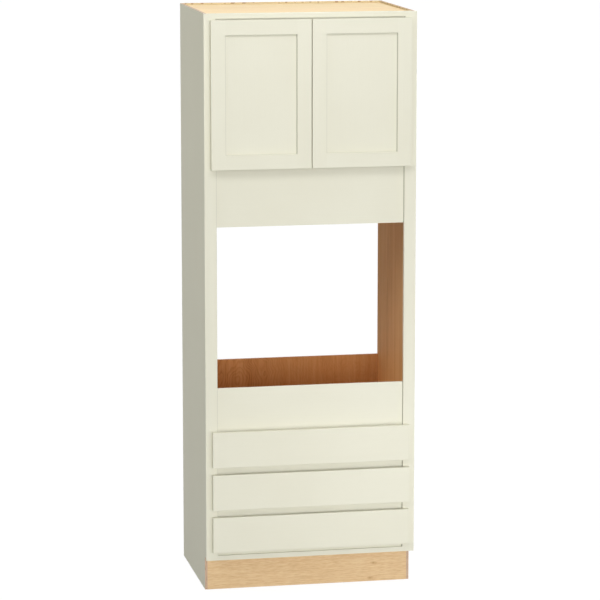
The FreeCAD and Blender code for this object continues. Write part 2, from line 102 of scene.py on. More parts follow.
# Knots in the toe-kick board: place across, height and size
TOE_KNOTS = ((0.270, 0.075, 0.0055), (0.257, 0.0135, 0.0055))

# Screw heads and washers: radius and height. SOFT_EDGE is the share of a plate's thickness
# over which its upper edge is softened
CUP_SCREW = (0.0031, 0.0009)
BASE_SCREW = (0.0034, 0.0014)
FRONT_SCREW = (0.0046, 0.0022)
FRONT_WASHER = (0.0072, 0.0010)
SLIDE_SCREW = (0.0036, 0.0018)
RUNNER_SCREW = (0.0036, 0.0002)
BRACKET_SCREW = (0.0042, 0.0022)
SOFT_EDGE = 0.12

# Hinges, and the dots on the backs of the doors, whose layers are each a scale and a height
EAR_RADIUS = 0.0065
EAR_SPACING = 0.048
ARM_GAUGE = 0.002
BASE_SCREW_FROM_REAR = 0.008
BASE_SCREW_SPREAD = 0.013
DOT_X = 0.3757
DOT_FROM_END = 0.030
DOT_RADIUS = 0.0032
DOT_LAYERS = ((1.0, 0.0), (1.0, 0.0012), (0.92, 0.0020), (0.70, 0.0025), (0.40, 0.0027))

# Drawers and slides. The front screws sit at two shares of the height of the drawer box, and
# the outline of an end stop is its length, width and corner radius
FRONT_SCREW_X = 0.240
FRONT_SCREW_RISES = (0.36, 0.78)
SLIDE_GAUGE = 0.0012
SLIDE_SCREW_FROM_FRONT = 0.038
SLIDE_SCREW_BEFORE_MIDDLE = 0.032
SLIDE_SCREW_FROM_REAR = 0.070
LEVER_BEHIND_MIDDLE = 0.060
LEVER_ROOT_RADIUS = 0.0055
LEVER_TIP_RADIUS = 0.0022
LEVER_LENGTH = 0.052
LEVER_THICKNESS = 0.0034
STOP_FROM_FRONT = 0.0070
STOP_OUTLINE = (0.028, 0.012, 0.003)
STOP_THICKNESS = 0.0036
RUNNER_SCREW_FROM_FRONT = 0.0085
RUNNER_SCREW_FROM_REAR = 0.020
RUNNER_SCREW_SPREAD = 0.009
BRACKET_GAUGE = 0.0015
BRACKET_SCREW_INSET = 0.009
BRACKET_SCREW_SPREAD = 0.0105

# Staples: their pitch, the length, width and corner radius of the crown, its height, its
# inset from the middle of the edge behind it, and how far it strays and leans
STAPLE_PITCH = 0.110
STAPLE_OUTLINE = (0.0105, 0.0012, 0.0005)
STAPLE_HEIGHT = 0.0003
STAPLE_INSET = 0.0025
STAPLE_DRIFT = 0.0012
SIDE_STAPLE_LEAN = 0.10
DECK_STAPLE_LEAN = 0.14

# Camera, as fitted to the photograph: millimetres, metres and degrees
CAMERA_SENSOR = 36.0
CAMERA_LENS = 175.22
CAMERA_PLACE = (-2.2324, -11.3228, 3.0979)
CAMERA_DIP = 9.751
CAMERA_TURN = -11.225

# Studio: the level of the world's light on the object, and the floor. To the camera, this
# share of the floor is a plain white glow, and the rest is a matt surface with the shadow on it
AMBIENT_LEVEL = 0.12
FLOOR_WHITE = 1.06
FLOOR_WHITE_SHARE = 0.88
FLOOR_HALF_SIZE = 150.0
FLOOR_GAP = 0.0005


# ------------------------------------------------------------------ materials

class Shade:
    """A node material. Its textures lie in the part's own frame, in metres."""

    def __init__(self, name):
        self.material = bpy.data.materials.new(name)
        self.material.use_nodes = True
        self.tree = self.material.node_tree
        self.tree.nodes.clear()
        coordinates = self.add("TexCoord")
        self.place = coordinates.outputs["Object"]
        self.axis = self.split(self.place)
        self.facing = self.split(coordinates.outputs["Normal"])

    def add(self, kind, inputs=None, **settings):
        """A new node, with its settings and what goes into its sockets."""
        node = self.tree.nodes.new("ShaderNode" + kind)
        for key, value in settings.items():
            setattr(node, key, value)
        for key, value in (inputs or {}).items():
            self.feed(node.inputs[key], value)
        return node

    def feed(self, socket, value):
        """Links another node's output, or sets a constant on the socket itself."""
        if isinstance(value, bpy.types.NodeSocket):
            self.tree.links.new(value, socket)
        else:
            socket.default_value = value

    def split(self, vector):
        node = self.add("SeparateXYZ", {0: vector})
        return dict(zip("xyz", node.outputs))

    def math(self, operation, a, b=0.0, c=0.0):
        return self.add("Math", {0: a, 1: b, 2: c}, operation=operation).outputs[0]

    def vector(self, first, second, third):
        return self.add("CombineXYZ", {0: first, 1: second, 2: third}).outputs[0]

    def noise(self, vector, scale, detail=2.0, start=(0.0, 0.0, 0.0)):
        placed = self.add("Mapping", {"Vector": vector, "Location": start, "Scale": scale})
        inputs = {"Vector": placed.outputs[0], "Scale": 1.0, "Detail": detail}
        return self.add("TexNoise", inputs).outputs["Fac"]

    def span(self, value, low, high, to_low=0.0, to_high=1.0):
        """Maps low..high smoothly to to_low..to_high and holds the ends."""
        inputs = {"Value": value, "From Min": low, "From Max": high, "To Min": to_low, "To Max": to_high}
        return self.add("MapRange", inputs, interpolation_type="SMOOTHSTEP").outputs[0]

    def ramp(self, value, stops):
        """Colours along a value, from (position, colour) stops."""
        node = self.add("ValToRGB", {"Fac": value})
        ramp = node.color_ramp
        while len(ramp.elements) < len(stops):
            ramp.elements.new(0.5)
        for element, (position, colour) in zip(ramp.elements, stops):
            element.position = position
            element.color = (*colour, 1.0)
        return node.outputs["Color"]

    def mix(self, factor, a, b):
        node = self.add("Mix", data_type="RGBA")
        self.feed(node.inputs[0], factor)
        for socket, colour in ((node.inputs[6], a), (node.inputs[7], b)):
            self.feed(socket, colour if isinstance(colour, bpy.types.NodeSocket) else (*colour, 1.0))
        return node.outputs[2]

    def mix_value(self, factor, a, b):
        return self.add("Mix", {0: factor, 2: a, 3: b}, data_type="FLOAT").outputs[0]

    def sums(self, base, *terms):
        """base plus each (value, middle, weight) as weight * (value - middle)."""
        total = base
        for value, middle, weight in terms:
            total = self.math("ADD", total, self.math("MULTIPLY_ADD", value, weight, -middle * weight))
        return total

    def reach(self, a, b):
        """Length of the hypotenuse over a and b."""
        squares = (self.math("MULTIPLY", part, part) for part in (a, b))
        return self.math("SQRT", self.math("ADD", *squares))

    def lengthwise(self, along):
        """The place, with the axis along the grain first."""
        across = [axis for axis in "xyz" if axis != along]
        return self.vector(self.axis[along], self.axis[across[0]], self.axis[across[1]])

    def faces(self, axis):
        """1 on faces square to the axis, 0 on the others."""
        return self.math("GREATER_THAN", self.math("ABSOLUTE", self.facing[axis]), 0.5)

    def finish(self, colour, roughness, height, depth=0.0001, **constants):
        """The surface itself. depth is the relief's, in metres."""
        bump = self.add("Bump", {"Strength": 1.0, "Distance": depth, "Height": height})
        inputs = {"Base Color": colour, "Roughness": roughness, "Normal": bump.outputs[0]}
        inputs.update({name.replace("_", " "): value for name, value in constants.items()})
        surface = self.add("BsdfPrincipled", inputs)
        output = self.add("OutputMaterial")
        self.tree.links.new(surface.outputs[0], output.inputs[0])
        return self.material


# The scale of a noise is in waves per metre, along the grain first where it is stretched

def painted(shade, along, start):
    """Sprayed cream paint over faintly telegraphed grain: colour, roughness and height."""
    lengthwise = shade.lengthwise(along)
    broad = shade.noise(shade.place, (3.0, 3.0, 3.0), 2.0, start)
    grain = shade.noise(lengthwise, (6.0, 210.0, 210.0), 3.0, start)
    peel = shade.noise(shade.place, (420.0, 420.0, 420.0), 1.0, start)
    tone = shade.sums(0.5, (broad, 0.5, 1.1), (grain, 0.5, 0.35), (peel, 0.5, 0.15))
    colour = shade.mix(shade.span(tone, 0.1, 0.9), CREAM_LOW, CREAM)
    roughness = shade.sums(0.44, (peel, 0.5, 0.12), (broad, 0.5, 0.10))
    height = shade.sums(0.0, (peel, 0.5, 1.0), (grain, 0.5, 0.8))
    return colour, roughness, height


def grained(shade, colours, along, across, start, heart=(-1.5, 0.03), gap=0.009, slope=0.030,
            figure=0.6, flecks=0.35, bands=0.0, curl=0.0):
    """Flat-sawn wood: rings round a tilted heart, streaks, fibres and pores.

    heart is where the rings close, along and across the board. gap is the ring spacing,
    slope how fast the rings close along the board, and figure how strongly they show.
    flecks and bands are the strength of the short and the long stripes. curl is how far
    the rings are pulled aside, in metres, where the grain swirls."""
    third = [axis for axis in "xyz" if axis not in (along, across)][0]
    u, v, w = (shade.axis[axis] for axis in (along, across, third))
    lengthwise = shade.vector(u, v, w)
    sway = shade.noise(lengthwise, (2.2, 7.0, 7.0), 2.0, start)
    ripple = shade.noise(lengthwise, (10.0, 45.0, 45.0), 2.0, start)
    sideways = shade.sums(shade.math("SUBTRACT", v, heart[1]), (sway, 0.5, 0.08))
    lift = shade.math("MULTIPLY_ADD", u, slope, -slope * heart[0])
    lift = shade.sums(lift, (sway, 0.5, 0.03))
    if curl:
        swirled = shade.span(shade.noise(lengthwise, (3.0, 3.6, 3.6), 1.0, start), 0.44, 0.60)
        pull = shade.sums(0.0, (shade.noise(lengthwise, (15.0, 22.0, 22.0), 1.0, start), 0.5, curl))
        push = shade.sums(0.0, (shade.noise(lengthwise, (11.0, 17.0, 17.0), 1.0, start), 0.5, curl))
        sideways = shade.math("MULTIPLY_ADD", swirled, pull, sideways)
        lift = shade.math("MULTIPLY_ADD", swirled, push, lift)
    reach = shade.reach(sideways, lift)
    turns = shade.sums(shade.math("MULTIPLY", reach, 1.0 / gap), (ripple, 0.5, 0.8))
    ring = shade.math("FRACT", turns)
    late = shade.math("MULTIPLY", shade.span(ring, 0.30, 0.92), shade.span(ring, 0.93, 1.0, 1.0, 0.0))
    late = shade.math("MULTIPLY", late, shade.span(reach, 6.0 * gap, 20.0 * gap, 1.0, 0.35))
    streak = shade.noise(lengthwise, (3.5, 95.0, 95.0), 3.0, start)
    fibre = shade.noise(lengthwise, (14.0, 620.0, 620.0), 2.0, start)
    fleck = shade.noise(lengthwise, (40.0, 260.0, 260.0), 2.0, start)
    patch = shade.noise(lengthwise, (1.3, 6.5, 6.5), 2.0, start)
    pore = shade.span(shade.noise(lengthwise, (34.0, 900.0, 900.0), 1.0, start), 0.62, 0.72)
    value = shade.sums(0.45, (late, 0.2, 0.42 * figure), (streak, 0.5, 0.50), (fleck, 0.5, flecks),
                       (fibre, 0.5, 0.35), (patch, 0.5, 0.40))
    if bands:
        band = shade.noise(lengthwise, (0.7, 30.0, 30.0), 2.0, start)
        value = shade.sums(value, (band, 0.5, bands))
    colour = shade.ramp(value, ((0.12, colours[0]), (0.50, colours[1]), (0.98, colours[2])))
    colour = shade.mix(shade.math("MULTIPLY", pore, 0.22), colour, colours[2])
    roughness = shade.sums(0.56, (fibre, 0.5, 0.20), (late, 0.3, -0.08))
    relief = shade.sums(0.0, (fibre, 0.5, 0.7), (late, 0.3, 0.3), (pore, 0.0, -0.5))
    return colour, roughness, relief


def knots(shade, colour, dark, along, across, places):
    """Small closed knots, longer along the grain, with a darker rim of swirled fibres."""
    swirl = shade.noise(shade.place, (160.0, 160.0, 160.0), 2.0)
    for place, rise, size in places:
        u = shade.math("DIVIDE", shade.math("SUBTRACT", shade.axis[along], place), 2.1 * size)
        v = shade.math("DIVIDE", shade.math("SUBTRACT", shade.axis[across], rise), size)
        reach = shade.sums(shade.reach(u, v), (swirl, 0.5, 1.1))
        halo = shade.span(reach, 0.4, 1.5, 0.55, 0.0)
        core = shade.span(reach, 0.15, 0.55, 0.75, 0.0)
        colour = shade.mix(halo, colour, dark)
        colour = shade.mix(core, colour, dark)
    return colour


def plies(shade, across, first, thickness, along, start):
    """The layers on the edge of a sheet of plywood, with glue lines and dark voids."""
    level = shade.math("DIVIDE", shade.math("SUBTRACT", shade.axis[across], first), thickness)
    layer = shade.math("FRACT", shade.math("MULTIPLY", level, 0.5))
    cross = shade.math("GREATER_THAN", layer, 0.5)
    from_middle = shade.math("ABSOLUTE", shade.math("SUBTRACT", shade.math("FRACT", level), 0.5))
    glue = shade.span(from_middle, 0.44, 0.50)
    speck = shade.noise(shade.place, (260.0, 260.0, 260.0), 3.0, start)
    run = shade.vector(shade.axis[along], shade.axis[across], 0.0)
    void = shade.span(shade.noise(run, (26.0, 320.0, 1.0), 1.0, start), 0.66, 0.72)
    colour = shade.mix(cross, PLY_LONG, PLY_CROSS)
    colour = shade.mix(shade.span(speck, 0.35, 0.70), colour, PLY_CROSS)
    colour = shade.mix(shade.math("MULTIPLY", glue, 0.55), colour, PLY_GLUE)
    return shade.mix(shade.math("MULTIPLY", void, 0.8), colour, PLY_GLUE)


def paint_seam_shade(shade, colour, seam_shades, within):
    """Paints shade along the lines at each (axis, place, strength), within (axis, low, high): a dark
    line for the joint and the shade in its corner.
    """
    after = shade.math("GREATER_THAN", shade.axis[within[0]], within[1])
    before = shade.math("LESS_THAN", shade.axis[within[0]], within[2])
    mask = shade.math("MULTIPLY", after, before)
    for axis, place, strength in seam_shades:
        away = shade.math("ABSOLUTE", shade.math("SUBTRACT", shade.axis[axis], place))
        # Painted shade that fades out across the seam's width
        line = shade.math("MULTIPLY", shade.span(away, 0.0, SEAM_SHADE_WIDTH, strength, 0.0), mask)
        colour = shade.mix(line, colour, SEAM_SHADE)
    return colour


def start_for(name):
    """A fixed place in the noise for each piece, from the letters of its name."""
    total = sum((index + 3) * ord(letter) for index, letter in enumerate(name))
    return (total * 0.137 % 7.0, total * 0.311 % 9.0, total * 0.173 % 5.0)


def paint_material(name, along, seam_shades=(), within=None):
    """Cream paint with its grain along one axis, and painted shade along the seams if there are any."""
    shade = Shade(name + "_paint")
    colour, roughness, height = painted(shade, along, start_for(name))
    # Painted shade along the joints
    if seam_shades:
        colour = paint_seam_shade(shade, colour, seam_shades, within)
    return shade.finish(colour, roughness, height, PAINT_RELIEF, Specular_IOR_Level=PAINT_SHEEN)


def solid_wood_material(name, colours, along, across, **grain):
    """Solid wood, darker at the ends of the board."""
    shade = Shade(name + "_wood")
    colour, roughness, height = grained(shade, colours, along, across, start_for(name), **grain)
    ends = shade.math("MULTIPLY", shade.faces(along), 0.55)
    colour = shade.mix(ends, colour, colours[2])
    return shade.finish(colour, roughness, height, Specular_IOR_Level=SOLID_WOOD_SHEEN)


def plywood_material(name, colours, along, across, ply, marks=(), banded=False, **grain):
    """Veneered sheet whose edges show the layers. A banded one has its front edge covered."""
    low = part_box(name)[0]
    thick = [axis for axis in "xyz" if axis not in (along, across)][0]
    start = start_for(name)
    shade = Shade(name + "_veneer")
    colour, roughness, height = grained(shade, colours, along, across, start, **grain)
    colour = knots(shade, colour, KNOT_BROWN, along, across, marks)
    edge = plies(shade, thick, low["xyz".index(thick)], ply, along, start)
    broad_face = shade.faces(thick)
    if banded:
        front = shade.math("LESS_THAN", shade.facing["y"], -0.5)
        broad_face = shade.math("MAXIMUM", broad_face, front)
    colour = shade.mix(broad_face, edge, colour)
    roughness = shade.mix_value(broad_face, 0.75, roughness)
    return shade.finish(colour, roughness, height, Specular_IOR_Level=VENEER_SHEEN)


def paler_at_top(shade, veneer):
    """The bare strips that stand above the top panel, with small chips along their upper edge."""
    low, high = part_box("top_panel")
    chip = shade.noise(shade.place, (42.0, 42.0, 60.0), 1.0)
    edge = shade.span(shade.axis["z"], high.z + 0.001, high.z + 0.004)
    chipped = shade.math("MULTIPLY", shade.span(chip, 0.55, 0.62), edge)
    strip = shade.mix(chipped, STRIP_MAPLE, CHIP_BROWN)
    above = shade.math("GREATER_THAN", shade.axis["z"], (low.z + high.z) / 2)
    return shade.mix(above, veneer, strip)


def stile_material(name, edge, bands):
    """Cream paint with painted shade along its inner edge between the flush strips, and bare maple on
    the inner edge in the oven bay, behind the rails' faces.
    """
    start = start_for(name)
    shade = Shade(name + "_paint")
    colour, roughness, height = painted(shade, "z", start)
    # Painted shade on the eased inner edge and on the inner edge face itself
    colour = paint_seam_shade(shade, colour, (("x", edge, EDGE_SHADE),), bands)
    maple = grained(shade, SIDE_MAPLE, "z", "y", start)[0]
    sill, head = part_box("lower_oven_rail"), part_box("upper_oven_rail")
    inner = shade.math("LESS_THAN", shade.math("ABSOLUTE", shade.axis["x"]), abs(edge) + 0.001)
    bare = shade.math("MULTIPLY", shade.faces("x"), inner)
    for condition, axis, place in (("GREATER_THAN", "z", sill[1].z), ("LESS_THAN", "z", head[0].z),
                                   ("GREATER_THAN", "y", sill[0].y)):
        bare = shade.math("MULTIPLY", bare, shade.math(condition, shade.axis[axis], place))
    colour = shade.mix(bare, colour, maple)
    return shade.finish(colour, roughness, height, PAINT_RELIEF, Specular_IOR_Level=PAINT_SHEEN)


def side_panel_material(name):
    """Cream paint outside, maple veneer inside, plies on the edges."""
    low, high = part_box(name)
    outer = max(abs(low.x), abs(high.x))
    start = start_for(name)
    shade = Shade(name + "_faces")
    paint = painted(shade, "z", start)
    veneer = grained(shade, SIDE_MAPLE, "z", "y", start, heart=(-2.0, 0.12), gap=0.010, slope=0.02,
                     figure=0.4, bands=0.9)
    inner = paler_at_top(shade, veneer[0])
    edge = plies(shade, "x", low.x, PANEL_PLY, "z", start)
    broad_face = shade.faces("x")
    outside = shade.math("GREATER_THAN", shade.math("ABSOLUTE", shade.axis["x"]), outer - 0.0002)
    outside = shade.math("MULTIPLY", outside, broad_face)
    colour = shade.mix(outside, shade.mix(broad_face, edge, inner), paint[0])
    roughness = shade.mix_value(outside, shade.math("ADD", veneer[1], 0.10), paint[1])
    height = shade.mix_value(outside, veneer[2], paint[2])
    return shade.finish(colour, roughness, height, Specular_IOR_Level=VENEER_SHEEN)


def back_panel_material(name):
    """Warm veneer towards the inside and plain sheet towards the wall."""
    low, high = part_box(name)
    start = start_for(name)
    shade = Shade(name + "_faces")
    inner = grained(shade, RED_MAPLE, "z", "x", start, heart=BACK_HEART, gap=0.013, slope=0.50,
                    figure=0.55, bands=0.4, curl=0.10)
    outer = grained(shade, PLAIN_BACK, "z", "x", start, heart=(-1.0, 0.05), gap=0.016, slope=0.05,
                    figure=0.5)
    edge = plies(shade, "y", low.y, PANEL_PLY, "x", start)
    rear = shade.math("GREATER_THAN", shade.facing["y"], 0.5)
    broad_face = shade.faces("y")
    colour = shade.mix(broad_face, edge, shade.mix(rear, paler_at_top(shade, inner[0]), outer[0]))
    roughness = shade.mix_value(rear, inner[1], 0.68)
    return shade.finish(colour, roughness, inner[2], Specular_IOR_Level=VENEER_SHEEN)


def metal_material(name, colour, roughness, along):
    """Plated steel with fine drawing lines and a mottled sheen."""
    shade = Shade(name)
    line = shade.noise(shade.lengthwise(along), (9.0, 1900.0, 1900.0), 2.0)
    cloud = shade.noise(shade.place, (90.0, 90.0, 90.0), 3.0)
    darker = tuple(0.80 * part for part in colour)
    tone = shade.sums(0.5, (line, 0.5, 0.7), (cloud, 0.5, 0.8))
    shine = shade.sums(roughness, (line, 0.5, 0.12), (cloud, 0.5, 0.16))
    toned = shade.mix(shade.span(tone, 0.1, 0.9), darker, colour)
    return shade.finish(toned, shine, line, 0.00002, Metallic=1.0)


def moulded_material(name, colour, roughness, **constants):
    """Moulded plastic with a fine texture."""
    shade = Shade(name)
    fine = shade.noise(shade.place, (1500.0, 1500.0, 1500.0), 2.0)
    cloud = shade.noise(shade.place, (60.0, 60.0, 60.0), 2.0)
    darker = tuple(0.82 * part for part in colour)
    tone = shade.sums(0.5, (fine, 0.5, 0.5), (cloud, 0.5, 0.8))
    shine = shade.sums(roughness, (fine, 0.5, 0.15))
    return shade.finish(shade.mix(tone, darker, colour), shine, fine, 0.00003, **constants)


def dress(name, material):
    """Gives a CAD piece its material."""
    mesh = NODES[name].data
    mesh.materials.clear()
    mesh.materials.append(material)


def dress_door(side):
    """Paint on the pieces of a door, with painted shade along the joints where they meet, and nickel on
    its cups.
    """
    door = side + "_door_"
    stiles = sorted((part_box(door + piece) for piece in ("hinge_stile", "meeting_stile")),
                    key=lambda box: box[0].x)
    edges = (stiles[0][1].x, stiles[1][0].x)
    inside = ("z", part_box(door + "bottom_rail")[1].z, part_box(door + "top_rail")[0].z)
    # Painted shade on the panel along the frame: strongest at the sides and under the top rail, lighter
    # above the bottom rail
    seam_shades = [("x", edge, CORNER_SHADE) for edge in edges]
    seam_shades += [("z", inside[1], EDGE_SHADE), ("z", inside[2], CORNER_SHADE)]
    dress(door + "panel", paint_material(door + "panel", "z", seam_shades, inside))
    # Painted shade on the stiles' eased edges beside the panel
    seam_shades = [("x", edge, EDGE_SHADE) for edge in edges]
    for piece in ("hinge_stile", "meeting_stile"):
        dress(door + piece, paint_material(door + piece, "z", seam_shades, inside))
    for piece in ("top_rail", "bottom_rail"):
        dress(door + piece, paint_material(door + piece, "x"))
    dress(door + "hinge_cups", metal_material(door + "nickel", NICKEL, 0.28, "z"))


def dress_nodes():
    """Gives every CAD piece its material."""
    bands = ("z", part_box("bottom_rail")[0].z + FLUSH_BAND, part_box("top_rail")[1].z - FLUSH_BAND)
    # Stiles: painted shade along their inner edges, between the flush strips
    for name, edge in (("left_stile", -OPENING_X), ("right_stile", OPENING_X)):
        dress(name, stile_material(name, edge, bands))
    # Rails: painted shade at their ends, in the corners where they meet the stiles, behind the stiles'
    # faces
    recessed = ("y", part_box("left_stile")[0].y + SEAM_SHADE_START_DEPTH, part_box("left_stile")[1].y)
    ends = (("x", -OPENING_X, CORNER_SHADE), ("x", OPENING_X, CORNER_SHADE))
    for name in ("top_rail", "upper_oven_rail", "lower_oven_rail", "upper_divider_rail",
                 "lower_divider_rail", "bottom_rail"):
        dress(name, paint_material(name, "x", ends, recessed))
    for side in SIDES:
        dress(side + "_side_panel", side_panel_material(side + "_side_panel"))
        dress_door(side)
    for name in ("upper_back_panel", "lower_back_panel"):
        dress(name, back_panel_material(name))
    for name, colours in (("top_panel", MAPLE), ("cupboard_floor", SIDE_MAPLE),
                          ("oven_platform", SIDE_MAPLE), ("bottom_panel", SIDE_MAPLE)):
        dress(name, plywood_material(name, colours, "x", "y", DECK_PLY))
    dress("adjustable_shelf", plywood_material("adjustable_shelf", BOX_MAPLE, "x", "y", SHELF_PLY,
                                               banded=True))
    dress("toe_kick_board", plywood_material("toe_kick_board", TOE_MAPLE, "x", "z", DECK_PLY,
                                             marks=TOE_KNOTS, heart=(-1.2, -0.02), gap=0.007,
                                             slope=0.02, figure=0.30, flecks=0.9))
    for name in ("hanging_rail", "platform_cleats", "corner_braces"):
        across = "z" if name == "hanging_rail" else "y"
        dress(name, solid_wood_material(name, PINE, "x", across, gap=0.005, figure=0.9))
    for drawer in DRAWERS:
        dress(drawer + "_front", paint_material(drawer + "_front", "x"))
        dress(drawer + "_sides", solid_wood_material(drawer + "_sides", BOX_MAPLE, "y", "z"))
        for piece in ("_box_front", "_box_back"):
            dress(drawer + piece, solid_wood_material(drawer + piece, BOX_MAPLE, "x", "z"))
        bottom = drawer + "_bottom"
        dress(bottom, plywood_material(bottom, BOX_MAPLE, "y", "x", DRAWER_PLY))
    zinc = metal_material("zinc_plate", ZINC, 0.34, "y")
    nickel = metal_material("nickel_plate", NICKEL, 0.28, "y")
    for name in NODES:
        if name.endswith("_slides") or name in ("drawer_runners", "runner_brackets"):
            dress(name, zinc)
    for name in ("hinge_arms", "shelf_pins"):
        dress(name, nickel)


# --------------------------------------------------------------- small pieces

def placed(place, towards, turn=0.0):
    """Stands a piece modelled along +Z at a place, facing a direction and turned about it."""
    facing = Vector((0.0, 0.0, 1.0)).rotation_difference(Vector(towards)).to_matrix().to_4x4()
    return Matrix.Translation(place) @ facing @ Matrix.Rotation(turn, 4, "Z")


def loop_of(mesh, at, points, height):
    """New vertices at the points of an outline, at a height."""
    return [mesh.verts.new(at @ Vector((x, y, height))) for x, y in points]


def skin(mesh, lower, upper):
    """A band of faces between two closed loops."""
    for index in range(len(lower)):
        mesh.faces.new((lower[index - 1], lower[index], upper[index], upper[index - 1]))


def arc(radius, first=0.0, last=360.0, steps=24, centre=(0.0, 0.0)):
    """Points round a centre. A whole turn leaves out its last point."""
    parts = steps if last - first >= 360.0 else steps - 1
    turns = (math.radians(first + (last - first) * step / parts) for step in range(steps))
    return [(centre[0] + radius * math.cos(turn), centre[1] + radius * math.sin(turn))
            for turn in turns]


def rounded_rectangle(length, width, radius):
    """Outline with its length along the local X axis."""
    x, y = length / 2 - radius, width / 2 - radius
    corners = ((x, y, 0), (-x, y, 90), (-x, -y, 180), (x, -y, 270))
    return [point for cx, cy, first in corners
            for point in arc(radius, first, first + 90, 5, (cx, cy))]


def stacked(mesh, at, outline, layers):
    """A form through copies of an outline, each a (scale, height) layer. The top stays open."""
    loops = [loop_of(mesh, at, [(scale * x, scale * y) for x, y in outline], height)
             for scale, height in layers]
    for lower, upper in zip(loops, loops[1:]):
        skin(mesh, lower, upper)
    mesh.faces.new(loops[0][::-1])
    return loops[-1]


def plate(mesh, at, outline, thickness):
    """A moulded or stamped plate with a slightly softened upper edge."""
    layers = ((1.0, 0.0), (1.0, thickness - SOFT_EDGE * thickness), (0.97, thickness))
    mesh.faces.new(stacked(mesh, at, outline, layers))


def screw(mesh, at, radius, height):
    """A domed screw head with a cross recess."""
    layers = ((1.0, 0.0), (1.0, 0.35 * height), (0.90, 0.78 * height), (0.66, height))
    rim = stacked(mesh, at, arc(radius), layers)
    reach, half = 0.50 * radius, 0.13 * radius
    arm = ((reach, -half), (reach, half), (half, half))
    cross = []
    for quarter in range(4):
        turn = Matrix.Rotation(quarter * math.pi / 2, 2)
        cross += [tuple(turn @ Vector(corner)) for corner in arm]
    mouth = loop_of(mesh, at, cross, height)
    floor = loop_of(mesh, at, [(0.7 * x, 0.7 * y) for x, y in cross], 0.2 * height)
    skin(mesh, mouth, floor)
    mesh.faces.new(floor)
    edges = [mesh.edges.get((loop[index - 1], loop[index]))
             for loop in (rim, mouth) for index in range(len(loop))]
    bmesh.ops.triangle_fill(mesh, use_beauty=True, edges=edges)


def piece_from(mesh, name, body, material):
    """Makes a piece of the scene that rides on a body."""
    bmesh.ops.recalc_face_normals(mesh, faces=mesh.faces)
    data = bpy.data.meshes.new(name)
    mesh.to_mesh(data)
    mesh.free()
    data.shade_smooth()
    data.set_sharp_from_angle(angle=math.radians(32.0))
    piece = bpy.data.objects.new(name, data)
    bpy.context.scene.collection.objects.link(piece)
    data.materials.append(material)
    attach(piece, body)


def add_door_pieces(side, nickel, clear):
    """Screws in the ears of the hinge cups, and soft dots that meet the stile."""
    body = side + "_door"
    sign = -1 if side == "left" else 1
    low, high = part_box(body + "_hinge_cups")
    cup_x = (low.x + high.x) / 2
    ends = (low.z + EAR_RADIUS, high.z - EAR_RADIUS)
    screws = bmesh.new()
    for end, step in zip(ends, (1, -1)):
        for z in (end, end + step * EAR_SPACING):
            screw(screws, placed((cup_x, high.y, z), (0, 1, 0), 0.4 * step), *CUP_SCREW)
    piece_from(screws, body + "_hinge_screws", body, nickel)
    leaf_low, leaf_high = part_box(body + "_hinge_stile")
    dots = bmesh.new()
    for z in (leaf_low.z + DOT_FROM_END, leaf_high.z - DOT_FROM_END):
        at = placed((sign * DOT_X, leaf_high.y, z), (0, 1, 0))
        dots.faces.new(stacked(dots, at, arc(DOT_RADIUS), DOT_LAYERS))
    piece_from(dots, body + "_dots", body, clear)


def add_hinge_base_screws(nickel):
    """Screws that hold the arms of the hinges on the stiles."""
    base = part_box("hinge_arms")
    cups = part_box("left_door_hinge_cups")
    y = base[1].y - BASE_SCREW_FROM_REAR
    from_end = EAR_RADIUS + EAR_SPACING / 2
    screws = bmesh.new()
    for sign in (-1, 1):
        for z in (cups[0].z + from_end, cups[1].z - from_end):
            for step in (-1, 1):
                place = (sign * (OPENING_X - ARM_GAUGE), y, z + step * BASE_SCREW_SPREAD)
                screw(screws, placed(place, (-sign, 0, 0), 0.7 * step), *BASE_SCREW)
    piece_from(screws, "hinge_base_screws", "housing", nickel)


def add_drawer_pieces(drawer, zinc, black):
    """Screws that hold the front and the slides, and the slides' levers and stops.

    Returns the height of the middle of the slides."""
    box_low, box_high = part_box(drawer + "_box_front")
    washer_radius, washer_height = FRONT_WASHER
    screws = bmesh.new()
    for x in (-FRONT_SCREW_X, FRONT_SCREW_X):
        for rise in FRONT_SCREW_RISES:
            z = box_low.z + rise * (box_high.z - box_low.z)
            at = placed((x, box_high.y, z), (0, 1, 0), x + rise)
            plate(screws, at, arc(washer_radius), washer_height)
            screw(screws, at @ Matrix.Translation((0, 0, washer_height)), *FRONT_SCREW)
    piece_from(screws, drawer + "_front_screws", drawer, zinc)

    low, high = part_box(drawer + "_inner_slides")
    middle_y, middle_z = (low.y + high.y) / 2, (low.z + high.z) / 2
    web_x = box_high.x + SLIDE_GAUGE
    screw_places = (low.y + SLIDE_SCREW_FROM_FRONT, middle_y - SLIDE_SCREW_BEFORE_MIDDLE,
                    high.y - SLIDE_SCREW_FROM_REAR)
    tongue = arc(LEVER_ROOT_RADIUS, 25, 335, 18) + arc(LEVER_TIP_RADIUS, -60, 60, 8, (LEVER_LENGTH, 0.0))
    screws, levers = bmesh.new(), bmesh.new()
    for sign in (-1, 1):
        for y in screw_places:
            screw(screws, placed((sign * web_x, y, middle_z), (sign, 0, 0), y), *SLIDE_SCREW)
        root = (sign * web_x, middle_y + LEVER_BEHIND_MIDDLE, middle_z)
        at = Matrix(((0, 0, sign), (-1, 0, 0), (0, 1, 0))).to_4x4()
        plate(levers, Matrix.Translation(root) @ at, tongue, LEVER_THICKNESS)
    piece_from(screws, drawer + "_slide_screws", drawer, zinc)
    piece_from(levers, drawer + "_slide_levers", drawer, black)

    low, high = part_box(drawer + "_middle_slides")
    web_x = high.x - SLIDE_GAUGE
    stops = bmesh.new()
    for sign in (-1, 1):
        at = placed((sign * web_x, low.y + STOP_FROM_FRONT, middle_z), (-sign, 0, 0))
        plate(stops, at, rounded_rectangle(*STOP_OUTLINE), STOP_THICKNESS)
    piece_from(stops, drawer + "_slide_stops", drawer + "_slide_middle", black)
    return middle_z


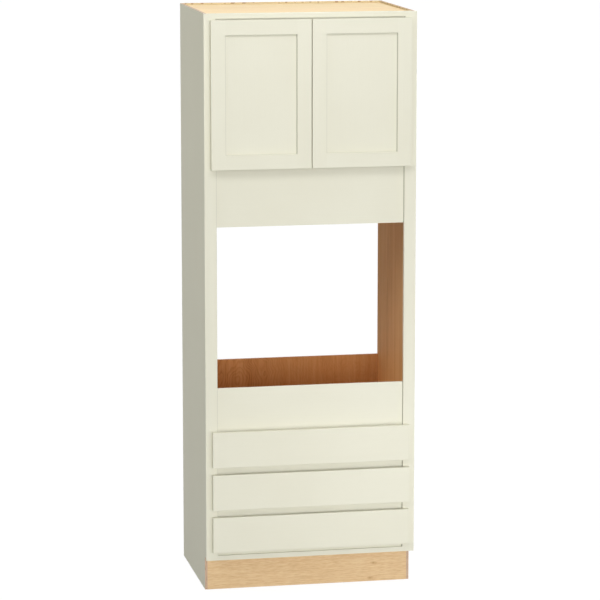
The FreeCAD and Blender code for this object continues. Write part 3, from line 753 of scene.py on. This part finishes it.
def add_runner_screws(heights, zinc):
    """Flat heads inside the runners and at the feet of their brackets."""
    low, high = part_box("drawer_runners")
    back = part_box("lower_back_panel")[0].y
    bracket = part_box("runner_brackets")
    web_x = high.x - SLIDE_GAUGE
    foot_x = bracket[1].x - BRACKET_SCREW_INSET
    screws = bmesh.new()
    for sign in (-1, 1):
        for z in heights:
            for y in (low.y + RUNNER_SCREW_FROM_FRONT, high.y - RUNNER_SCREW_FROM_REAR):
                for step in (-1, 1):
                    place = (sign * web_x, y, z + step * RUNNER_SCREW_SPREAD)
                    screw(screws, placed(place, (-sign, 0, 0), y + step), *RUNNER_SCREW)
            for step in (-1, 1):
                place = (sign * foot_x, back - BRACKET_GAUGE, z + step * BRACKET_SCREW_SPREAD)
                screw(screws, placed(place, (0, -1, 0), step * 0.5), *BRACKET_SCREW)
    piece_from(screws, "runner_screws", "housing", zinc)


def add_staples(zinc):
    """Crowns of the staples that hold the back panels, not quite in line."""
    crown = rounded_rectangle(*STAPLE_OUTLINE)
    staples = bmesh.new()
    decks = {"lower_back_panel": ("bottom_panel", "oven_platform"),
             "upper_back_panel": ("cupboard_floor", "hanging_rail", "top_panel")}
    for name, backed in decks.items():
        low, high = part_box(name)
        edge = (high.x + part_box("top_panel")[1].x) / 2 - STAPLE_INSET
        count = round((high.z - low.z) / STAPLE_PITCH)
        for sign in (-1, 1):
            for number in range(count):
                z = low.z + (number + 0.5) * (high.z - low.z) / count
                lean = math.pi / 2 + SIDE_STAPLE_LEAN * math.sin(5.1 * number + sign)
                at = placed((sign * edge, high.y, z), (0, 1, 0), lean)
                plate(staples, at, crown, STAPLE_HEIGHT)
        for deck in backed:
            deck_low, deck_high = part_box(deck)
            across = round(2 * edge / STAPLE_PITCH)
            for number in range(across):
                x = (number + 0.5 - across / 2) * 2 * edge / across
                lean = DECK_STAPLE_LEAN * math.sin(3.7 * number + deck_low.z)
                z = (deck_low.z + deck_high.z) / 2 + STAPLE_DRIFT * math.sin(2.9 * number)
                plate(staples, placed((x, high.y, z), (0, 1, 0), lean), crown, STAPLE_HEIGHT)
    piece_from(staples, "back_staples", "housing", zinc)


def add_small_pieces():
    """The fasteners and fittings that are too small for the solids."""
    zinc = metal_material("screw_zinc", ZINC, 0.30, "z")
    nickel = metal_material("screw_nickel", NICKEL, 0.26, "z")
    black = moulded_material("black_mould", BLACK_PLASTIC, 0.42)
    clear = moulded_material("clear_dot", CLEAR_PLASTIC, 0.22, Transmission_Weight=0.7)
    for side in SIDES:
        add_door_pieces(side, nickel, clear)
    add_hinge_base_screws(nickel)
    heights = [add_drawer_pieces(drawer, zinc, black) for drawer in DRAWERS]
    add_runner_screws(heights, zinc)
    add_staples(zinc)


# ---------------------------------------------------------------------- stage

def add_sun(name, azimuth, elevation, level, spread):
    """A soft lamp far away. Azimuth 0 is in front of the cabinet, 90 to its right."""
    data = bpy.data.lights.new(name, "SUN")
    data.energy = level * math.pi
    data.angle = math.radians(spread)
    turn, rise = math.radians(azimuth), math.radians(elevation)
    flat = math.cos(rise)
    towards = Vector((math.sin(turn) * flat, -math.cos(turn) * flat, math.sin(rise)))
    lamp = bpy.data.objects.new(name, data)
    lamp.rotation_mode = "QUATERNION"
    lamp.rotation_quaternion = (-towards).to_track_quat("-Z", "Y")
    lamp.location = towards * 8.0
    bpy.context.scene.collection.objects.link(lamp)


def add_panel(name, place, aim, size, level, colour=(1.0, 1.0, 1.0)):
    """A square lamp near the cabinet, whose level is what a white card at its aim returns."""
    data = bpy.data.lights.new(name, "AREA")
    data.size = size
    data.color = colour
    lamp = bpy.data.objects.new(name, data)
    lamp.location = place
    towards = Vector(aim) - Vector(place)
    data.energy = level * math.pi ** 2 * towards.length_squared
    lamp.rotation_mode = "QUATERNION"
    lamp.rotation_quaternion = towards.to_track_quat("-Z", "Y")
    lamp.visible_camera = False
    bpy.context.scene.collection.objects.link(lamp)


def seen_directly(tree):
    """1 for camera, glossy and transmission rays."""
    path = tree.nodes.new("ShaderNodeLightPath")
    total = path.outputs["Is Camera Ray"]
    for name in ("Is Glossy Ray", "Is Transmission Ray"):
        larger = tree.nodes.new("ShaderNodeMath")
        larger.operation = "MAXIMUM"
        tree.links.new(total, larger.inputs[0])
        tree.links.new(path.outputs[name], larger.inputs[1])
        total = larger.outputs[0]
    return total


def add_world():
    """White for the camera, and a faint even light on everything."""
    world = bpy.data.worlds.new("studio")
    bpy.context.scene.world = world
    world.use_nodes = True
    tree = world.node_tree
    background = tree.nodes["Background"]
    level = tree.nodes.new("ShaderNodeMix")
    level.data_type = "RGBA"
    level.inputs[6].default_value = (*(AMBIENT_LEVEL * part for part in AMBIENT_TINT), 1.0)
    level.inputs[7].default_value = (1.0, 1.0, 1.0, 1.0)
    tree.links.new(seen_directly(tree), level.inputs[0])
    tree.links.new(level.outputs[2], background.inputs["Color"])


def add_floor():
    """A plain white floor that keeps a soft share of the object's shadow."""
    mesh = bmesh.new()
    bmesh.ops.create_grid(mesh, x_segments=1, y_segments=1, size=FLOOR_HALF_SIZE)
    data = bpy.data.meshes.new("floor")
    mesh.to_mesh(data)
    mesh.free()
    floor = bpy.data.objects.new("floor", data)
    floor.location.z = -FLOOR_GAP
    bpy.context.scene.collection.objects.link(floor)
    material = bpy.data.materials.new("floor_white")
    material.use_nodes = True
    tree = material.node_tree
    tree.nodes.clear()
    direct = seen_directly(tree)
    tint = tree.nodes.new("ShaderNodeMix")
    tint.data_type = "RGBA"
    tint.inputs[6].default_value = FLOOR_BOUNCE
    tint.inputs[7].default_value = (1.0, 1.0, 1.0, 1.0)
    matt = tree.nodes.new("ShaderNodeBsdfDiffuse")
    glow = tree.nodes.new("ShaderNodeEmission")
    glow.inputs["Strength"].default_value = FLOOR_WHITE
    share = tree.nodes.new("ShaderNodeMath")
    share.operation = "MULTIPLY"
    share.inputs[1].default_value = FLOOR_WHITE_SHARE
    blend = tree.nodes.new("ShaderNodeMixShader")
    output = tree.nodes.new("ShaderNodeOutputMaterial")
    tree.links.new(direct, tint.inputs[0])
    tree.links.new(tint.outputs[2], matt.inputs["Color"])
    tree.links.new(direct, share.inputs[0])
    tree.links.new(share.outputs[0], blend.inputs[0])
    tree.links.new(matt.outputs[0], blend.inputs[1])
    tree.links.new(glow.outputs[0], blend.inputs[2])
    tree.links.new(blend.outputs[0], output.inputs[0])
    data.materials.append(material)


def add_camera():
    """The camera, where the photograph was taken from."""
    data = bpy.data.cameras.new("camera")
    data.sensor_width = CAMERA_SENSOR
    data.lens = CAMERA_LENS
    camera = bpy.data.objects.new("camera", data)
    camera.location = CAMERA_PLACE
    camera.rotation_euler = (math.radians(90.0 - CAMERA_DIP), 0.0, math.radians(CAMERA_TURN))
    bpy.context.scene.collection.objects.link(camera)
    bpy.context.scene.camera = camera


dress_nodes()
add_small_pieces()
add_camera()
add_floor()
add_world()
add_sun("front_light", azimuth=-2.0, elevation=4.0, level=0.553, spread=25.0)
add_sun("key_light", azimuth=-45.0, elevation=35.0, level=0.149, spread=30.0)
add_sun("right_light", azimuth=94.0, elevation=15.0, level=0.26, spread=40.0)
add_sun("top_light", azimuth=0.0, elevation=89.0, level=0.188, spread=40.0)
add_sun("back_light", azimuth=170.0, elevation=25.0, level=0.35, spread=60.0)
add_panel("left_light", place=(-4.0, -0.7, 3.1), aim=(-0.42, 0.0, 1.15), size=2.4, level=0.165,
          colour=SIDE_TINT)
add_panel("high_light", place=(0.0, -1.7, 3.4), aim=(0.0, -0.3, 2.0), size=0.8, level=0.295)
add_panel("low_light", place=(0.7, -2.1, 0.35), aim=(0.1, -0.3, 0.45), size=0.6, level=0.238)
bpy.context.scene.view_settings.view_transform = "Standard"
